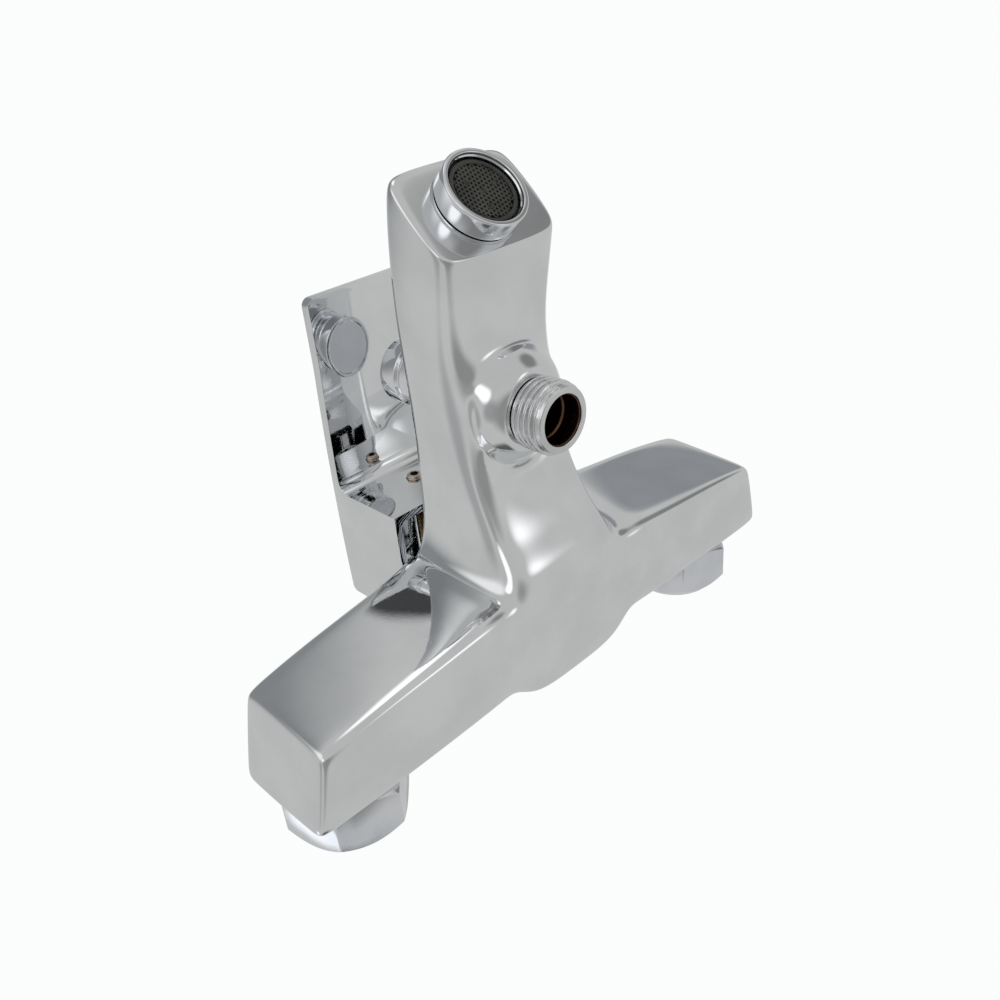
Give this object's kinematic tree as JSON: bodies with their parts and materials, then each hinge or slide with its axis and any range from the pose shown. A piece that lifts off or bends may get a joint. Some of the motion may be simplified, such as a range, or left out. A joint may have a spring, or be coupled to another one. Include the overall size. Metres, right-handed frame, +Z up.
{
  "type": "wall mounted bath faucet",
  "caption": "Wall mounted single lever bath mixer: square bar body on two union nuts, arched spout with aerator, pull-up diverter and threaded hose outlet.",
  "frame": {"origin": "midway between the two inlets, in the plane of the union nuts' wall side faces", "axes": "+X to the right along the bar, +Y into the wall, +Z up; the spout points along -Y"},
  "size_m": [0.1916, 0.1644, 0.0848],
  "materials": {
    "body_chrome": "polished chrome plate on brass",
    "lever_chrome": "polished chrome plate",
    "knob_chrome": "polished chrome plate",
    "trim_chrome": "polished chrome plate",
    "thread_chrome": "chrome plate on a cut thread",
    "nut_chrome": "chrome plate",
    "brass": "machined",
    "steel": "bright stainless",
    "rubber": "black, matte",
    "white_plastic": "moulded",
    "grey_plastic": "moulded",
    "dark_plastic": "moulded, dark grey",
    "white_ceramic": "lapped"
  },
  "bodies": {
    "base": {"faucet_body": "body_chrome", "inlet_tail_left": "brass", "inlet_tail_right": "brass", "tail_seal_left": "rubber", "tail_seal_right": "rubber", "inlet_strainer_left": "steel", "inlet_strainer_right": "steel", "base_seal": "rubber", "cartridge_base": "white_plastic", "fixed_disc": "white_ceramic", "cartridge_housing": "white_plastic", "retaining_nut": "trim_chrome", "dome_cover": "trim_chrome", "diverter_bonnet": "trim_chrome", "bonnet_seal": "rubber", "hose_nipple": "thread_chrome", "nipple_seal": "rubber", "aerator_housing": "trim_chrome", "aerator_gasket": "rubber", "aerator_insert": "dark_plastic"},
    "left_nut": {"union_nut_left": "nut_chrome"},
    "right_nut": {"union_nut_right": "nut_chrome"},
    "cartridge_head": {"turn_guide": "grey_plastic", "stem_pin": "steel"},
    "lever": {"handle": "lever_chrome", "handle_set_screw": "brass", "lever_stem": "brass"},
    "disc": {"moving_disc": "white_ceramic", "disc_carrier": "grey_plastic"},
    "diverter": {"diverter_knob": "knob_chrome", "diverter_rod": "steel", "diverter_valve": "brass", "diverter_seal": "rubber", "diverter_spring": "steel"}
  },
  "joints": [
    {"name": "left_nut_turn", "type": "hinge", "parent": "base", "child": "left_nut", "pos_m": [-0.075, 0, 0], "axis": [0, 1, 0], "continuous": true},
    {"name": "right_nut_turn", "type": "hinge", "parent": "base", "child": "right_nut", "pos_m": [0.075, 0, 0], "axis": [0, 1, 0], "continuous": true},
    {"name": "temperature_turn", "type": "hinge", "parent": "base", "child": "cartridge_head", "pos_m": [0, -0.0375, 0.0225], "axis": [0, 0, 1], "range_deg": [-45, 45]},
    {"name": "lever_lift", "type": "hinge", "parent": "cartridge_head", "child": "lever", "pos_m": [0, -0.0375, 0.0225], "axis": [-1, 0, 0], "range_deg": [0, 20]},
    {"name": "disc_slide", "type": "slide", "parent": "cartridge_head", "child": "disc", "axis": [0, -1, 0], "range_m": [0, 0.0036]},
    {"name": "diverter_pull", "type": "slide", "parent": "base", "child": "diverter", "axis": [0, 0, 1], "range_m": [0, 0.006], "stiffness_N_per_m": 200, "springref_m": -0.003, "deforming": ["diverter_spring"]}
  ],
  "couplings": [
    {"joint": "disc_slide", "follows": "lever_lift", "m_per_rad": 0.01}
  ]
}
